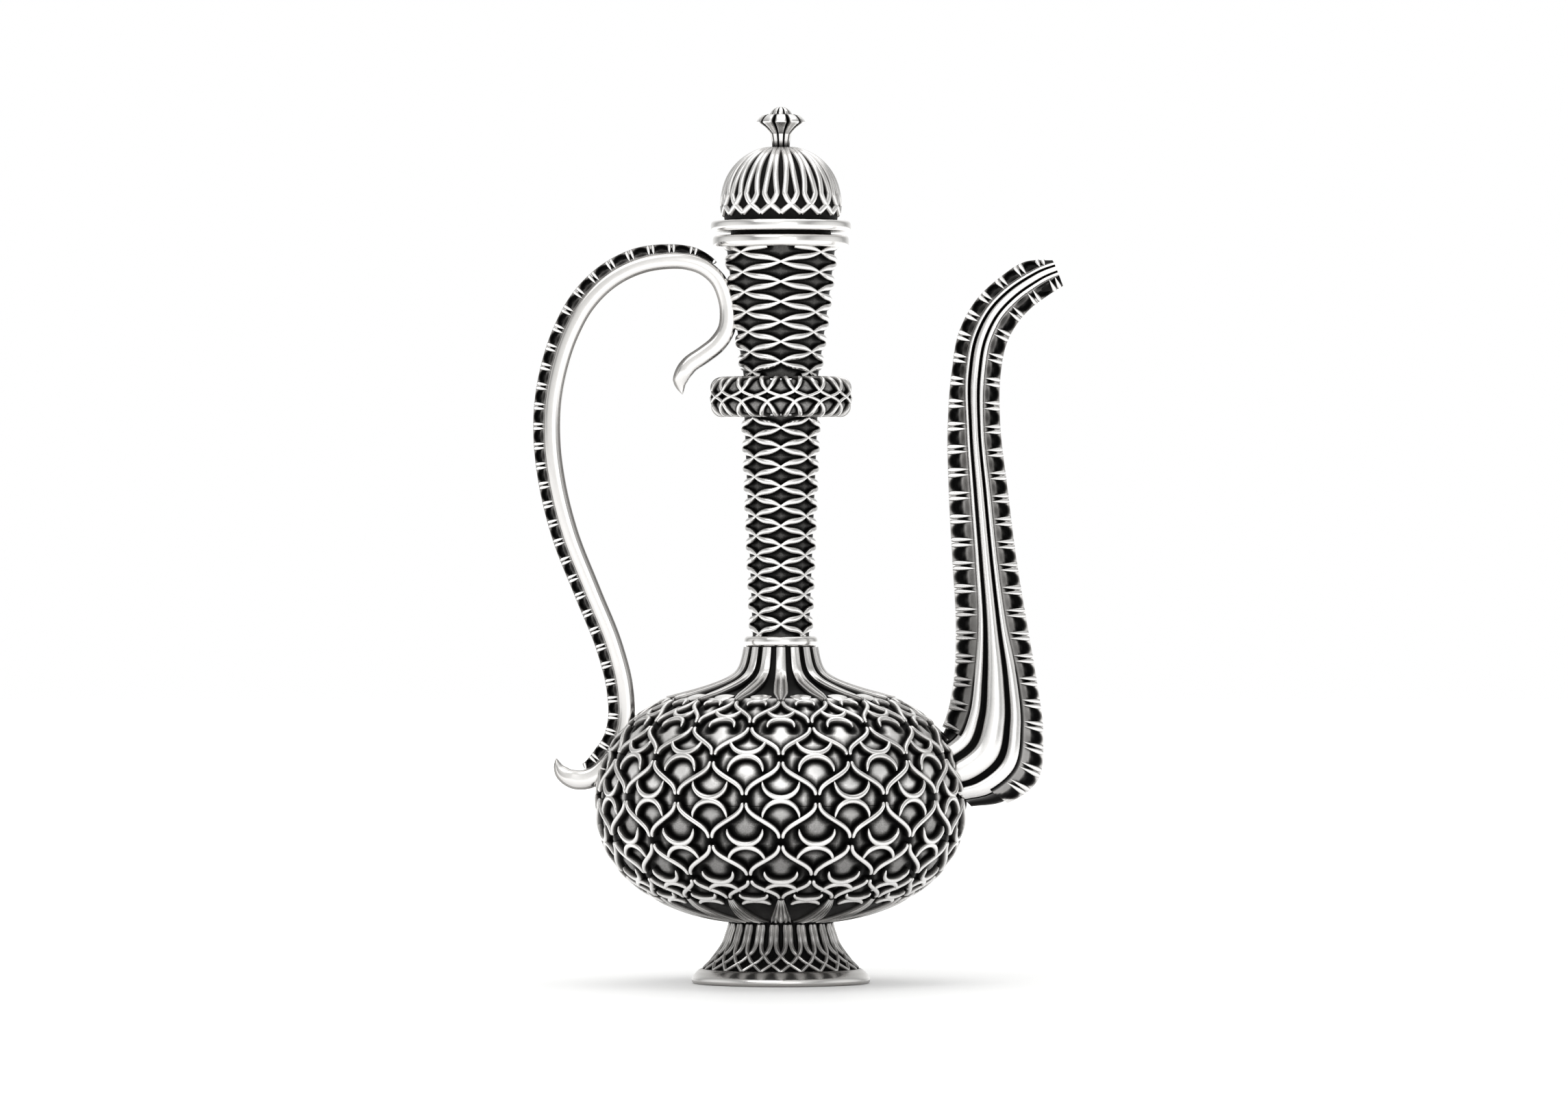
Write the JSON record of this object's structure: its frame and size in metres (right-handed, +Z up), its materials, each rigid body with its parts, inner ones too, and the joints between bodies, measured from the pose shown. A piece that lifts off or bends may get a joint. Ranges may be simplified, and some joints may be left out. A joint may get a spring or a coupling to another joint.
{
  "type": "coffee pot",
  "caption": "Footed dallah coffee pot with a round openwork body, waisted neck, domed lift-off lid, tall beak spout and hooked strap handle.",
  "frame": {"origin": "centre of the flat face the foot stands on", "axes": "+Z up the pot's axis, +X towards the spout, -X towards the handle"},
  "size_m": [0.1818, 0.1278, 0.3008],
  "materials": {
    "polished_silver": "polished silver plate",
    "relief_silver": "polished silver plate with blackened edges",
    "oxidised_silver": "blackened, stippled silver ground"
  },
  "bodies": {
    "pot": {"base_ring": "polished_silver", "base_plate": "oxidised_silver", "foot_cone": "oxidised_silver", "foot_tracery": "relief_silver", "foot_petals": "relief_silver", "bowl": "oxidised_silver", "shoulder_shell": "oxidised_silver", "lower_lattice": "relief_silver", "upper_lattice": "relief_silver", "shoulder_cone": "oxidised_silver", "shoulder_ribs": "relief_silver", "neck_collar": "polished_silver", "lower_neck": "oxidised_silver", "lower_neck_lattice": "relief_silver", "knop": "oxidised_silver", "knop_lattice": "relief_silver", "upper_neck": "oxidised_silver", "upper_neck_lattice": "relief_silver", "mouth_rim": "polished_silver", "handle_strap": "polished_silver", "handle_rail": "relief_silver", "spout_tube": "relief_silver", "spout_front_rail": "relief_silver", "spout_back_rail": "relief_silver", "spout_left_reeds": "polished_silver", "spout_right_reeds": "polished_silver"},
    "lid": {"lid_plug": "oxidised_silver", "lid_flange": "polished_silver", "lid_dome": "oxidised_silver", "lid_tracery": "relief_silver", "finial_stem": "relief_silver", "finial_nut": "oxidised_silver", "finial_flower": "relief_silver", "finial_button": "relief_silver"}
  },
  "joints": [
    {"name": "lid_lift", "type": "slide", "parent": "pot", "child": "lid", "axis": [0, 0, 1], "range_m": [0, 0.06]}
  ]
}
